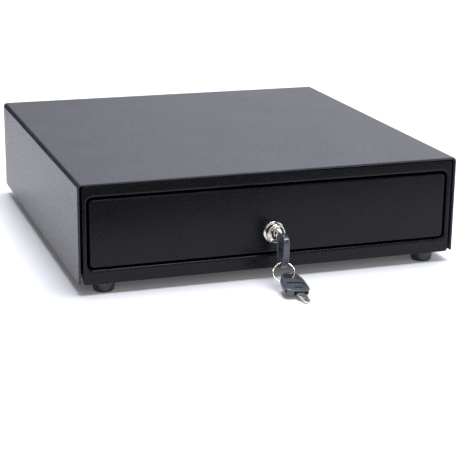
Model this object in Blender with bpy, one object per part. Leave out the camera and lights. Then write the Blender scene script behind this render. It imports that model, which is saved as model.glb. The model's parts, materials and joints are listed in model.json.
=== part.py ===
"""Cash drawer: a steel till drawer on ball slides in a folded steel housing, with lock, keys and latch.

Every number below is in millimetres and is turned into metres where a mesh is made. +Z is up, the drawer
opens towards -Y and +X is to the right of somebody who stands in front of it. The origin is the middle of
the whole object's box on the table: the keys hang about 90 mm in front of the housing, so the housing's
front face lies FRONT behind the front of that box.
"""

import math

import bmesh
import bpy
from mathutils import Matrix, Vector

MM = 0.001
GAP = 0.3

# Housing
WIDTH = 410.0
DEPTH = 415.0
HEIGHT = 115.0
FOOT_HEIGHT = 11.0
KEY_REACH = 85.2
SCREW_REACH = 1.6
FRONT = (KEY_REACH - DEPTH - SCREW_REACH) / 2
BACK = FRONT + DEPTH
TOP = HEIGHT
BASE = FOOT_HEIGHT
HALF = WIDTH / 2
SHEET = 1.2
COVER_LIFT = 1.6
COVER_BEND = 4.5
COVER_HEM = 2.3
HEM_DEPTH = 10.0
BACK_RETURN = 12.0

# Front frame
FRAME_HALF = 200.5
FRAME_TOP = BASE + 101.5
FRAME_RECESS = 0.5
FRAME_DEPTH = 30.0
OPENING_HALF = 195.5
OPENING_LOW = BASE + 15.0
OPENING_HIGH = BASE + 89.5
OPENING_DEPTH = 14.0
EDGE_ROUND = 1.5

# Feet
FOOT_TOP_RADIUS = 12.5
FOOT_BOTTOM_RADIUS = 9.6
FOOT_X = 176.5
FOOT_FRONT_Y = FRONT + 15.5
FOOT_BACK_Y = BACK - 15.5

# Drawer
PANEL_HALF = 193.2
PANEL_LOW = BASE + 17.0
PANEL_HIGH = BASE + 87.2
PANEL_FRONT = FRONT + 1.2
PANEL_DEPTH = 28.0
PAN_HALF = 185.6
PAN_LOW = BASE + 18.6
PAN_HIGH = BASE + 82.0
PAN_FRONT = PANEL_FRONT + PANEL_DEPTH + GAP
PAN_BACK = FRONT + 340.0

# Slides
OUTER_RAIL_X = 201.6
OUTER_RAIL_IN = 190.6
INNER_RAIL_X = 186.0
INNER_RAIL_OUT = 194.4
RAIL_LOW = BASE + 36.0
RAIL_HIGH = BASE + 71.0
RAIL_START = FRONT + 33.0
RAIL_LENGTH = 350.0
CAGE_START = FRONT + 168.0
CAGE_LENGTH = 68.0

# Till
TRAY_HALF = 183.6
TRAY_FRONT = PAN_FRONT + SHEET + 1.4
TRAY_BACK = PAN_BACK - SHEET - 1.4
TRAY_FLOOR = PAN_LOW + SHEET + GAP
TRAY_HIGH = BASE + 76.0
TRAY_WALL = 2.2
BILL_COUNT = 4
BILL_START = FRONT + 152.0
DIVIDER = 2.4
COIN_ROWS = 2
CLIP_Y = TRAY_BACK - 8.5
CLIP_Z = BASE + 69.0
CLIP_REACH = 110.0

# Lock
LOCK_Z = BASE + 39.0
LOCK_RADIUS = 9.8
LOCK_FLANGE_RADIUS = 11.3
LOCK_REACH = 8.6
LOCK_BACK = FRONT + 16.5
CAM_REACH = 30.5
PLUG_RADIUS = 6.2

# Latch, switch, ejector and socket
LATCH_PIN_Y = FRONT + 378.0
LATCH_PIN_Z = BASE + 34.0
HOOK_REACH = 24.0
SOLENOID_Y = LATCH_PIN_Y + 17.0
SOLENOID_RADIUS = 10.5
PLUNGER_RADIUS = 4.0
SWITCH_X = 60.0
SWITCH_Y = PAN_BACK + 5.6
SWITCH_Z = BASE + 28.0
EJECTOR_PLACE = (-100.0, BASE + 48.0)
SOCKET_X = 140.0
SOCKET_Z = BASE + 24.0

# Keys
FOLD_Y = FRONT - 27.0
FOLD_Z = LOCK_Z
HEAD_LENGTH = 35.0
HEAD_HALF_WIDTH = 13.2
HEAD_THICKNESS = 6.6
HEAD_ABOVE_PIN = 5.2
HEAD_YAW = math.radians(-4)
FORK_HALF = 1.9
SLOT_START = 3.3
SLOT_END = 10.7
SLOT_HALF_WIDTH = 8.2
BLADE_THICKNESS = 1.9
BLADE_WIDTH = 7.4
RING_RADIUS = 10.9
RING_WIRE = 0.7
RING_TOP = Vector((1.4, FOLD_Y - 1.0, BASE + 14.2))
RING_TILT = math.radians(43)
RING_YAW = math.radians(-24)
SPARE_BLADE_REACH = 22.3
SPARE_TIP = Vector((5.7, FRONT - KEY_REACH + 0.52, 1.25))
SPARE_YAW = math.radians(-1.5)
SPARE_PITCH = math.radians(14.5)
SPARE_ROLL = math.radians(5.5)
SPARE_FOLD = math.radians(11)

ROUND_STEPS = 24

MATERIALS = {
    "black_coat": ((0.028, 0.029, 0.032), 0.48, 0.0),
    "cover_coat": ((0.070, 0.073, 0.080), 0.45, 0.0),
    "zinc_steel": ((0.62, 0.63, 0.65), 0.35, 1.0),
    "lock_chrome": ((0.80, 0.78, 0.74), 0.14, 1.0),
    "key_nickel": ((0.72, 0.70, 0.66), 0.22, 1.0),
    "key_plastic": ((0.085, 0.100, 0.120), 0.42, 0.0),
    "foot_rubber": ((0.012, 0.013, 0.016), 0.35, 0.0),
    "tray_plastic": ((0.020, 0.020, 0.022), 0.50, 0.0),
    "clip_plastic": ((0.045, 0.046, 0.050), 0.42, 0.0),
    "coil_tape": ((0.35, 0.20, 0.03), 0.50, 0.0),
    "socket_plastic": ((0.015, 0.015, 0.016), 0.40, 0.0),
}


def clear_scene():
    for obj in list(bpy.data.objects):
        bpy.data.objects.remove(obj, do_unlink=True)


def material(name):
    """The named material, made the first time it is asked for."""
    found = bpy.data.materials.get(name)
    if found:
        return found
    colour, roughness, metallic = MATERIALS[name]
    made = bpy.data.materials.new(name)
    made.use_nodes = True
    shader = made.node_tree.nodes["Principled BSDF"]
    shader.inputs["Base Color"].default_value = (*colour, 1.0)
    shader.inputs["Roughness"].default_value = roughness
    shader.inputs["Metallic"].default_value = metallic
    return made


def add_object(name, mesh, slot=None, smooth=False):
    obj = bpy.data.objects.new(name, mesh)
    bpy.context.scene.collection.objects.link(obj)
    if slot:
        mesh.materials.clear()
        mesh.materials.append(material(slot))
    if smooth:
        mesh.shade_smooth()
        mesh.set_sharp_from_angle(angle=math.radians(35))
    return obj


def mesh_of(name, build):
    """A mesh in metres from a function that fills a bmesh in millimetres."""
    shape = bmesh.new()
    build(shape)
    bmesh.ops.remove_doubles(shape, verts=shape.verts, dist=0.001)
    bmesh.ops.recalc_face_normals(shape, faces=shape.faces)
    bmesh.ops.scale(shape, vec=(MM, MM, MM), verts=shape.verts)
    mesh = bpy.data.meshes.new(name)
    shape.to_mesh(mesh)
    shape.free()
    return mesh


def loft(rings, closed=False):
    """A mesh through rings of equally many points. Its ends are capped, or joined when it is closed."""

    def build(shape):
        rows = [[shape.verts.new(point) for point in ring] for ring in rings]
        count = len(rows[0])
        pairs = list(zip(rows, rows[1:]))
        if closed:
            pairs.append((rows[-1], rows[0]))
        for low, high in pairs:
            for i in range(count):
                j = (i + 1) % count
                shape.faces.new((low[i], low[j], high[j], high[i]))
        if not closed:
            shape.faces.new(rows[0][::-1])
            shape.faces.new(rows[-1])

    return mesh_of("loft", build)


def on_plane(axis, a, b, at):
    """The point with in-plane values a and b, at the given place along an axis."""
    return {"x": (at, a, b), "y": (a, at, b), "z": (a, b, at)}[axis]


def prism(outline, axis, start, end):
    """An outline of (a, b) pairs drawn out along an axis: (y, z) along x, (x, z) along y, (x, y) along z."""
    return loft([[on_plane(axis, a, b, at) for a, b in outline] for at in (start, end)])


def box(low, high):
    outline = [(low[0], low[1]), (high[0], low[1]), (high[0], high[1]), (low[0], high[1])]
    return prism(outline, "z", low[2], high[2])


def circle(radius, centre=(0.0, 0.0), steps=ROUND_STEPS):
    angles = [2 * math.pi * i / steps for i in range(steps)]
    return [(centre[0] + radius * math.cos(t), centre[1] + radius * math.sin(t)) for t in angles]


def arc_points(radius, first, last, count):
    """Points on an arc about the origin, between two angles in degrees."""
    angles = [math.radians(first + (last - first) * i / (count - 1)) for i in range(count)]
    return [(radius * math.cos(a), radius * math.sin(a)) for a in angles]


def cylinder(radius, axis, centre, start, end, steps=ROUND_STEPS):
    return prism(circle(radius, centre, steps), axis, start, end)


def turned(profile, axis, centre, steps=ROUND_STEPS):
    """A solid of revolution from (radius, place) pairs along an axis."""
    rings = [
        [on_plane(axis, a, b, at) for a, b in circle(radius, centre, steps)] for radius, at in profile
    ]
    return loft(rings)


def tube(outer, inner, axis, centre, start, end, steps=ROUND_STEPS):
    profile = ((outer, start), (outer, end), (inner, end), (inner, start))
    rings = [
        [on_plane(axis, a, b, at) for a, b in circle(radius, centre, steps)] for radius, at in profile
    ]
    return loft(rings, closed=True)


def round_rect(low, high, radius, steps=4):
    """A rectangle's outline with rounded corners, from its low and high corners."""
    corners = (
        (high[0] - radius, high[1] - radius, 0.0),
        (low[0] + radius, high[1] - radius, 90.0),
        (low[0] + radius, low[1] + radius, 180.0),
        (high[0] - radius, low[1] + radius, 270.0),
    )
    outline = []
    for a, b, start in corners:
        for i in range(steps + 1):
            t = math.radians(start + 90.0 * i / steps)
            outline.append((a + radius * math.cos(t), b + radius * math.sin(t)))
    return outline


def evaluated(obj):
    graph = bpy.context.evaluated_depsgraph_get()
    return bpy.data.meshes.new_from_object(obj.evaluated_get(graph))


def combine(first, operation, others):
    """A mesh after Boolean steps with other meshes."""
    target = add_object("target", first)
    for other in others:
        helper = add_object("helper", other)
        helper.hide_render = True
        helper.display_type = "WIRE"
        step = target.modifiers.new("step", "BOOLEAN")
        step.operation = operation
        step.object = helper
        step.solver = "EXACT"
        result = evaluated(target)
        target.modifiers.clear()
        target.data = result
        bpy.data.objects.remove(helper, do_unlink=True)
    mesh = target.data
    bpy.data.objects.remove(target, do_unlink=True)
    return mesh


def cut(first, *others):
    return combine(first, "DIFFERENCE", others)


def join(first, *others):
    return combine(first, "UNION", others)


def moved(mesh, matrix):
    """A copy of a mesh moved by a matrix whose translation is in millimetres."""
    copy = mesh.copy()
    in_metres = matrix.copy()
    in_metres.translation = in_metres.translation * MM
    copy.transform(in_metres)
    if matrix.determinant() < 0:
        copy.flip_normals()
    return copy


def mirrored(mesh):
    return moved(mesh, Matrix.Scale(-1, 4, Vector((1, 0, 0))))


class Assembly:
    """The empties that carry the moving bodies, and the pieces placed on them."""

    def __init__(self):
        self.empties = {}

    def body(self, name, parent, point, turn=None):
        """An empty on a joint's axis, at a point in millimetres."""
        empty = bpy.data.objects.new(name + "_axis", None)
        bpy.context.scene.collection.objects.link(empty)
        empty.empty_display_size = 0.02
        place = Matrix.Translation(Vector(point) * MM)
        if turn:
            place = place @ turn.to_4x4()
        if parent:
            empty.parent = self.empties[parent]
            place = self.world(parent).inverted() @ place
        empty.matrix_local = place
        self.empties[name] = empty
        bpy.context.view_layer.update()
        return empty

    def world(self, name):
        return self.empties[name].matrix_world

    def fixed(self, name, mesh, body, slot, smooth=False):
        """A piece whose mesh is in the object's own frame. Its origin is the middle of its box."""
        obj = add_object(name, mesh, slot, smooth)
        corners = [Vector(corner) for corner in obj.bound_box]
        middle = sum(corners, Vector()) / len(corners)
        mesh.transform(Matrix.Translation(-middle))
        obj.parent = self.empties[body]
        obj.matrix_local = self.world(body).inverted() @ Matrix.Translation(middle)
        return obj

    def mover(self, name, mesh, body, slot, smooth=False):
        """A piece whose mesh is in the object's own frame. Its origin is its body's joint."""
        obj = add_object(name, mesh, slot, smooth)
        mesh.transform(self.world(body).inverted())
        obj.parent = self.empties[body]
        return obj

    def local(self, name, mesh, body, slot, smooth=False):
        """A piece whose mesh is already in its body's own frame."""
        obj = add_object(name, mesh, slot, smooth)
        obj.parent = self.empties[body]
        return obj


# ---------------------------------------------------------------- housing


def cover_outline(inset, low):
    """The cover's section: straight sides, and round bends between them and the top."""
    half = HALF - inset
    top = TOP - inset
    bend = max(COVER_BEND - inset, 1.0)
    outline = [(-half, low), (half, low)]
    for start, sign in ((0.0, 1), (90.0, -1)):
        for i in range(6):
            t = math.radians(start + 18.0 * i)
            outline.append((sign * (half - bend) + bend * math.cos(t), top - bend + bend * math.sin(t)))
    return outline


def top_cover():
    """A sheet bent over the top and both sides, hemmed in front and returned at the back."""
    low = BASE + COVER_LIFT
    outer = prism(cover_outline(0.0, low), "y", FRONT, BACK)
    hem = prism(cover_outline(COVER_HEM, low - 10), "y", FRONT - 10, FRONT + HEM_DEPTH)
    inside = prism(cover_outline(SHEET, low - 10), "y", FRONT + HEM_DEPTH - 1, BACK - SHEET)
    back = prism(cover_outline(BACK_RETURN, low - 10), "y", BACK - 5, BACK + 10)
    cover = cut(outer, hem, inside, back)
    holes = [
        cylinder(2.0, "y", (x, z), BACK - 5, BACK + 5, 12) for x, z in cover_screw_places()
    ]
    return cut(cover, *holes)


def cover_screw_places():
    return [(side * (HALF - 6.5), BASE + height) for side in (-1, 1) for height in (22.0, 86.0)]


def chassis():
    """The base sheet with a tall wall on each side, which carries the slides."""
    low = BASE + SHEET + GAP
    half = HALF - SHEET - 0.6
    wall_top = BASE + 95.0
    start = FRONT + FRAME_DEPTH + 0.6
    end = BACK - 2 * SHEET - 3 * GAP
    section = [
        (-half, low),
        (half, low),
        (half, wall_top),
        (half - SHEET, wall_top),
        (half - SHEET, low + SHEET),
        (-half + SHEET, low + SHEET),
        (-half + SHEET, wall_top),
        (-half, wall_top),
    ]
    tub = prism(section, "y", start, end)
    tongue_half = FRAME_HALF - SHEET - 3.2
    tongue = box((-tongue_half, FRONT + 3.2, low), (tongue_half, start + 1.0, low + SHEET))
    tray = join(tub, tongue)
    holes = [cylinder(2.6, "z", place, low - 5, low + 5, 12) for place in foot_places()]
    return cut(tray, *holes)


def front_frame():
    """A pressed frame round the drawer's opening, with a flange outside and a flange inside."""
    front = FRONT + FRAME_RECESS
    r = EDGE_ROUND
    bend = r * (1 - math.cos(math.radians(45)))

    def outer(inset, y):
        low = (-FRAME_HALF + inset, BASE + inset)
        high = (FRAME_HALF - inset, FRAME_TOP - inset)
        return [(a, y, b) for a, b in round_rect(low, high, 3.6 - inset)]

    def inner(outset, y):
        low = (-OPENING_HALF - outset, OPENING_LOW - outset)
        high = (OPENING_HALF + outset, OPENING_HIGH + outset)
        return [(a, y, b) for a, b in round_rect(low, high, 6.0 + outset)]

    rings = [
        outer(0.0, FRONT + FRAME_DEPTH),
        outer(0.0, front + r),
        outer(bend, front + bend),
        outer(r, front),
        inner(r, front),
        inner(bend, front + bend),
        inner(0.0, front + r),
        inner(0.0, FRONT + OPENING_DEPTH),
        inner(SHEET, FRONT + OPENING_DEPTH),
        inner(SHEET, front + SHEET + GAP),
        outer(SHEET, front + SHEET + GAP),
        outer(SHEET, FRONT + FRAME_DEPTH),
    ]
    holes = [cylinder(2.6, "z", place, BASE - 3, BASE + 5, 12) for place in foot_places()[:2]]
    return cut(loft(rings, closed=True), *holes)


def rear_panel():
    """The back sheet with a flange under the base, a hole for the socket and holes for its screws."""
    half = HALF - SHEET - 0.6
    back = BACK - SHEET - GAP
    sheet = prism(cover_outline(SHEET + 0.6, BASE), "y", back - SHEET, back)
    flange = box((-half, BACK - 33.0, BASE), (half, back - 0.5, BASE + SHEET))
    panel = join(sheet, flange)
    sx, sz = SOCKET_X, SOCKET_Z
    cutters = [box((sx - 8.3, back - 9, sz - 7.3), (sx + 8.3, back + 9, sz + 7.3))]
    cutters += [cylinder(2.6, "z", place, BASE - 3, BASE + 5, 12) for place in foot_places()[2:]]
    cutters += [cylinder(1.9, "y", place, back - 9, back + 9, 12) for place in cover_screw_places()]
    return cut(panel, *cutters)


def foot_places():
    return [(side * FOOT_X, y) for y in (FOOT_FRONT_Y, FOOT_BACK_Y) for side in (-1, 1)]


def foot(place):
    """A tapered rubber foot with a recess for the head of its screw."""
    top = BASE - GAP
    profile = (
        (FOOT_TOP_RADIUS, top),
        (FOOT_TOP_RADIUS, top - 1.4),
        (FOOT_BOTTOM_RADIUS + 0.7, 1.0),
        (FOOT_BOTTOM_RADIUS, 0.0),
        (5.2, 0.0),
        (5.2, 6.0),
        (2.5, 6.0),
        (2.5, top),
    )
    rings = [[(a, b, z) for a, b in circle(radius, place)] for radius, z in profile]
    return loft(rings, closed=True)


def foot_screw(place):
    """A pan-head screw in the foot's recess, up through the flange and the base."""
    head = turned(((4.4, 3.0), (4.6, 3.6), (4.6, 5.4), (4.2, 5.7)), "z", place, 16)
    shank = cylinder(2.0, "z", place, 5.0, BASE + 8.0, 12)
    slot = box((place[0] - 6, place[1] - 0.6, 2.0), (place[0] + 6, place[1] + 0.6, 4.0))
    return cut(join(head, shank), slot)


def cover_screw(place):
    """A pan-head screw through the cover's return, into the rear panel."""
    x, z = place
    profile = ((3.4, BACK + 0.15), (3.5, BACK + 0.6), (3.1, BACK + 1.3), (2.0, BACK + SCREW_REACH))
    head = turned(profile, "y", place, 16)
    shank = cylinder(1.5, "y", place, BACK - 7.0, BACK + 0.6, 12)
    slot = box((x - 5, BACK + 0.9, z - 0.4), (x + 5, BACK + 4, z + 0.4))
    return cut(join(head, shank), slot)


def phone_socket():
    """The socket for the printer's lead: a block in the rear panel whose mouth opens backwards."""
    sx, sz = SOCKET_X, SOCKET_Z
    back = BACK - SHEET - GAP
    block = box((sx - 8.0, back - 15.0, sz - 7.0), (sx + 8.0, back + 0.4, sz + 7.0))
    rim = box((sx - 9.6, back + GAP, sz - 8.6), (sx + 9.6, back + 1.4, sz + 8.6))
    mouth = box((sx - 5.0, back - 12.0, sz - 3.6), (sx + 5.0, back + 9, sz + 3.6))
    latch_way = box((sx - 2.6, back - 12.0, sz - 5.4), (sx + 2.6, back + 9, sz - 3.0))
    return cut(join(block, rim), mouth, latch_way)


def housing(parts):
    parts.fixed("top_cover", top_cover(), "housing", "cover_coat")
    parts.fixed("chassis", chassis(), "housing", "black_coat")
    parts.fixed("front_frame", front_frame(), "housing", "black_coat")
    parts.fixed("rear_panel", rear_panel(), "housing", "black_coat")
    parts.fixed("phone_socket", phone_socket(), "housing", "socket_plastic")
    corners = ("front_left", "front_right", "rear_left", "rear_right")
    for corner, place in zip(corners, foot_places()):
        parts.fixed("foot_" + corner, foot(place), "housing", "foot_rubber", smooth=True)
        parts.fixed("foot_screw_" + corner, foot_screw(place), "housing", "zinc_steel", smooth=True)
    spots = ("left_low", "left_high", "right_low", "right_high")
    for spot, place in zip(spots, cover_screw_places()):
        parts.fixed("cover_screw_" + spot, cover_screw(place), "housing", "black_coat", smooth=True)


# ---------------------------------------------------------------- slides


def channel(x_web, x_tips, low, high, wall, lip, start, end):
    """A C-shaped rail along Y, with its web at x_web and small lips at the tips of its flanges."""
    way = 1.0 if x_tips > x_web else -1.0
    section = [
        (x_web, low),
        (x_tips, low),
        (x_tips, low + wall + lip),
        (x_tips - way * wall, low + wall + lip),
        (x_tips - way * wall, low + wall),
        (x_web + way * wall, low + wall),
        (x_web + way * wall, high - wall),
        (x_tips - way * wall, high - wall),
        (x_tips - way * wall, high - wall - lip),
        (x_tips, high - wall - lip),
        (x_tips, high),
        (x_web, high),
    ]
    return prism(section, "y", start, end)


def outer_rail():
    """The right-hand slide's fixed member, on the chassis wall."""
    end = RAIL_START + RAIL_LENGTH
    return channel(OUTER_RAIL_X, OUTER_RAIL_IN, RAIL_LOW, RAIL_HIGH, 1.0, 0.9, RAIL_START, end)


def inner_rail():
    """The right-hand slide's moving member, on the drawer's side."""
    start = PAN_FRONT + 1.5
    end = RAIL_START + RAIL_LENGTH - 12.0
    low = RAIL_LOW + 5.2
    high = RAIL_HIGH - 5.2
    return channel(INNER_RAIL_X, INNER_RAIL_OUT, low, high, 1.0, 0.0, start, end)


def ball(centre, radius):
    def build(shape):
        bmesh.ops.create_uvsphere(
            shape, u_segments=8, v_segments=6, radius=radius, matrix=Matrix.Translation(centre)
        )

    return mesh_of("ball", build)


def ball_cage():
    """The right-hand slide's cage: a thin channel that holds the balls between the two members."""
    low = RAIL_LOW + 2.8
    high = RAIL_HIGH - 2.8
    start, end = CAGE_START, CAGE_START + CAGE_LENGTH
    cage = channel(198.6, 190.8, low, high, 0.6, 0.0, start, end)
    balls = []
    for i in range(3):
        y = start + 10.0 + i * (CAGE_LENGTH - 20.0) / 2
        for z in (low + 0.3, high - 0.3):
            balls.append(ball((193.4, y, z), 1.45))
    return join(cage, *balls)


def slides(parts):
    rail = outer_rail()
    parts.fixed("rail_outer_right", rail.copy(), "housing", "zinc_steel")
    parts.fixed("rail_outer_left", mirrored(rail), "housing", "zinc_steel")
    cage = ball_cage()
    parts.mover("ball_cage_right", cage.copy(), "cage_right", "zinc_steel")
    parts.mover("ball_cage_left", mirrored(cage), "cage_left", "zinc_steel")
    rail = inner_rail()
    parts.mover("rail_inner_right", rail.copy(), "drawer", "zinc_steel")
    parts.mover("rail_inner_left", mirrored(rail), "drawer", "zinc_steel")


# ---------------------------------------------------------------- drawer


def drawer_front():
    """The pressed front panel: a rounded face with a deep flange behind it, and a hole for the lock."""
    r = 1.3
    bend = r * (1 - math.cos(math.radians(45)))

    def ring(inset, y, radius):
        low = (-PANEL_HALF + inset, PANEL_LOW + inset)
        high = (PANEL_HALF - inset, PANEL_HIGH - inset)
        return [(a, y, b) for a, b in round_rect(low, high, radius)]

    back = PANEL_FRONT + PANEL_DEPTH
    outer = loft(
        [
            ring(0.0, back, 4.0),
            ring(0.0, PANEL_FRONT + r, 4.0),
            ring(bend, PANEL_FRONT + bend, 4.0 - bend),
            ring(r, PANEL_FRONT, 4.0 - r),
        ]
    )
    hollow = loft([ring(SHEET, back + 5, 3.0), ring(SHEET, PANEL_FRONT + SHEET, 3.0)])
    lock_hole = cylinder(LOCK_RADIUS - 0.6, "y", (0, LOCK_Z), PANEL_FRONT - 5, PANEL_FRONT + 5)
    cam_way = box((-8, LOCK_BACK - 1, PANEL_LOW - 5), (25, LOCK_BACK + 4.5, PANEL_LOW + 5))
    return cut(outer, hollow, lock_hole, cam_way)


def drawer_pan():
    """The folded pan that holds the till: a floor and four walls."""
    outer = box((-PAN_HALF, PAN_FRONT, PAN_LOW), (PAN_HALF, PAN_BACK, PAN_HIGH))
    low = (-PAN_HALF + SHEET, PAN_FRONT + SHEET, PAN_LOW + SHEET)
    high = (PAN_HALF - SHEET, PAN_BACK - SHEET, PAN_HIGH + 10)
    return cut(outer, box(low, high))


def latch_strike():
    """A bracket on the pan's back with a slotted tongue, where the latch hook drops in."""
    start = PAN_BACK + GAP
    z = LATCH_PIN_Z - 9.0
    plate = box((-12, start, z - 9), (12, start + 1.5, z + 2))
    tongue = box((-9, start + 1.0, z), (9, start + 27.0, z + 2))
    slot_start = LATCH_PIN_Y - HOOK_REACH - 3.0
    slot = box((-4, slot_start, z - 5), (4, slot_start + 12.0, z + 5))
    return cut(join(plate, tongue), slot)


def till_tray():
    """The lift-out till: one moulded tray with an outer wall and a wall between coins and notes."""
    outer = box((-TRAY_HALF, TRAY_FRONT, TRAY_FLOOR), (TRAY_HALF, TRAY_BACK, TRAY_HIGH))
    inside = TRAY_HALF - TRAY_WALL
    floor = TRAY_FLOOR + TRAY_WALL
    coins = box((-inside, TRAY_FRONT + TRAY_WALL, floor), (inside, BILL_START - TRAY_WALL, TRAY_HIGH + 9))
    bills = box((-inside, BILL_START, floor), (inside, TRAY_BACK - TRAY_WALL, TRAY_HIGH + 9))
    axle_way = cylinder(1.9, "x", (CLIP_Y, CLIP_Z), -inside - 1.3, inside + 1.3, 12)
    return cut(outer, coins, bills, axle_way)


def bill_pitch():
    return (2 * (TRAY_HALF - TRAY_WALL)) / BILL_COUNT


def bill_divider(x):
    """A wall between two note compartments, low enough at the back to pass under the clips' axle."""
    y0 = BILL_START + GAP
    y1 = TRAY_BACK - TRAY_WALL - GAP
    z0 = TRAY_FLOOR + TRAY_WALL + GAP
    z1 = TRAY_HIGH - 1.0
    outline = [
        (y0, z0),
        (y1, z0),
        (y1, CLIP_Z - 6.0),
        (CLIP_Y - 6.0, CLIP_Z - 6.0),
        (CLIP_Y - 12.0, z1),
        (y0, z1),
    ]
    return prism(outline, "x", x - DIVIDER / 2, x + DIVIDER / 2)


def coin_places():
    """The low and high corners of each coin cup, in rows."""
    inside = TRAY_HALF - TRAY_WALL - 1.0
    front = TRAY_FRONT + TRAY_WALL + 0.8
    back = BILL_START - TRAY_WALL - 0.8
    wide = 2 * inside / BILL_COUNT
    deep = (back - front) / COIN_ROWS
    cups = []
    for row in range(COIN_ROWS):
        for column in range(BILL_COUNT):
            x0 = -inside + column * wide
            y0 = front + row * deep
            cups.append(((x0 + 1.3, y0 + 1.3), (x0 + wide - 1.3, y0 + deep - 1.3)))
    return cups


def coin_cups():
    """The coin insert: one moulding with scooped cups in two rows."""
    inside = TRAY_HALF - TRAY_WALL - GAP
    low = (-inside, TRAY_FRONT + TRAY_WALL + GAP, TRAY_FLOOR + TRAY_WALL + GAP)
    high = (inside, BILL_START - TRAY_WALL - GAP, TRAY_HIGH - 2.0)
    floor = low[2] + 2.0
    cutters = []
    for (x0, y0), (x1, y1) in coin_places():
        scoop = 16.0
        outline = [(y1, high[2] + 5), (y0, high[2] + 5)]
        for i in range(6):
            t = math.radians(180 + 18 * i)
            outline.append((y0 + scoop + scoop * math.cos(t), floor + scoop + scoop * math.sin(t)))
        for i in range(6):
            t = math.radians(270 + 18 * i)
            outline.append((y1 - scoop + scoop * math.cos(t), floor + scoop + scoop * math.sin(t)))
        cutters.append(prism(outline, "x", x0, x1))
    return cut(box(low, high), *cutters)


def clip_axle():
    """The steel rod that all the note clips turn on."""
    end = TRAY_HALF - TRAY_WALL + 1.0
    return cylinder(1.5, "x", (CLIP_Y, CLIP_Z), -end, end, 12)


def note_clip(x):
    """A sprung arm that lies on the notes: a boss on the axle, a sloping arm and a wide foot."""
    boss = tube(4.2, 1.9, "x", (CLIP_Y, CLIP_Z), x - 9, x + 9, 16)
    toe_y = CLIP_Y - CLIP_REACH
    toe_z = TRAY_FLOOR + TRAY_WALL + 1.2
    arm_outline = [
        (CLIP_Y - 2.6, CLIP_Z - 2.6),
        (CLIP_Y - 3.4, CLIP_Z + 1.2),
        (CLIP_Y - 30, CLIP_Z - 7.0),
        (toe_y + 12, toe_z + 3.4),
        (toe_y, toe_z + 3.0),
        (toe_y, toe_z),
        (toe_y + 13, toe_z + 0.3),
        (CLIP_Y - 30, CLIP_Z - 10.4),
    ]
    arm = prism(arm_outline, "x", x - 6.5, x + 6.5)
    foot_outline = [
        (toe_y, toe_z + 0.1),
        (toe_y + 12, toe_z + 0.4),
        (toe_y + 12, toe_z + 2.9),
        (toe_y, toe_z + 2.8),
    ]
    toe = prism(foot_outline, "x", x - 24, x + 24)
    return join(boss, arm, toe)


def drawer(parts):
    parts.mover("drawer_front", drawer_front(), "drawer", "black_coat")
    parts.mover("drawer_pan", drawer_pan(), "drawer", "black_coat")
    parts.mover("latch_strike", latch_strike(), "drawer", "zinc_steel")
    parts.mover("till_tray", till_tray(), "drawer", "tray_plastic")
    parts.mover("coin_cups", coin_cups(), "drawer", "tray_plastic")
    parts.mover("clip_axle", clip_axle(), "drawer", "zinc_steel", smooth=True)
    half = TRAY_HALF - TRAY_WALL
    for i in range(1, BILL_COUNT):
        x = -half + i * bill_pitch()
        parts.mover("bill_divider_%d" % i, bill_divider(x), "drawer", "tray_plastic")
    for i in range(BILL_COUNT):
        x = -half + (i + 0.5) * bill_pitch()
        parts.mover("note_clip_%d" % (i + 1), note_clip(x), "note_clip_%d" % (i + 1), "clip_plastic")


# ---------------------------------------------------------------- lock


def lock_body():
    """The lock's barrel: a rounded rim in front of the panel, and a threaded barrel through it."""
    face = PANEL_FRONT - LOCK_REACH
    profile = (
        (PLUG_RADIUS + GAP, face + 0.7),
        (PLUG_RADIUS + GAP + 0.5, face),
        (LOCK_RADIUS - 0.9, face),
        (LOCK_RADIUS, face + 0.9),
        (LOCK_RADIUS, PANEL_FRONT - 2.6),
        (LOCK_FLANGE_RADIUS, PANEL_FRONT - 1.8),
        (LOCK_FLANGE_RADIUS, PANEL_FRONT - GAP),
        (LOCK_RADIUS - 1.0, PANEL_FRONT - GAP),
        (LOCK_RADIUS - 1.0, LOCK_BACK),
        (PLUG_RADIUS + GAP, LOCK_BACK),
    )
    rings = [[(a, y, b) for a, b in circle(radius, (0, LOCK_Z))] for radius, y in profile]
    return loft(rings, closed=True)


def lock_nut():
    """The hexagonal nut that clamps the lock behind the panel."""
    start = PANEL_FRONT + SHEET + GAP
    hexagon = cylinder(13.0, "y", (0, LOCK_Z), start, start + 4.0, 6)
    return cut(hexagon, cylinder(LOCK_RADIUS - 0.7, "y", (0, LOCK_Z), start - 5, start + 9))


def lock_plug():
    """The plug that the key turns, with its keyway and a square tail for the cam."""
    face = PANEL_FRONT - LOCK_REACH + 0.5
    plug = cylinder(PLUG_RADIUS, "y", (0, LOCK_Z), face, LOCK_BACK + GAP)
    half = 2.6
    tail = box((-half, LOCK_BACK - 1, LOCK_Z - half), (half, LOCK_BACK + 3.1, LOCK_Z + half))
    keyway_half = BLADE_THICKNESS / 2 + GAP
    tall = BLADE_WIDTH / 2 + GAP
    keyway = box((-keyway_half, face - 5, LOCK_Z - tall), (keyway_half, face + 14, LOCK_Z + tall))
    return cut(join(plug, tail), keyway)


def lock_cam():
    """The cam on the plug's tail. It points sideways when open, and down behind the frame when locked."""
    start = LOCK_BACK + 2 * GAP
    outline = arc_points(8.0, 60, 300, 11)
    corner = CAM_REACH - 2.5
    outline += [(corner, -5.0), (CAM_REACH, -2.5), (CAM_REACH, 2.5), (corner, 5.0)]
    outline = [(x, LOCK_Z + z) for x, z in outline]
    half = 2.9
    square = box((-half, start - 5, LOCK_Z - half), (half, start + 5, LOCK_Z + half))
    return cut(prism(outline, "y", start, start + 1.8), square)


def cam_screw():
    """The screw that holds the cam on the plug's tail."""
    start = LOCK_BACK + 3.1 + GAP
    return turned(((5.2, start), (5.2, start + 1.2), (4.4, start + 2.0)), "y", (0, LOCK_Z), 16)


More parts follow.
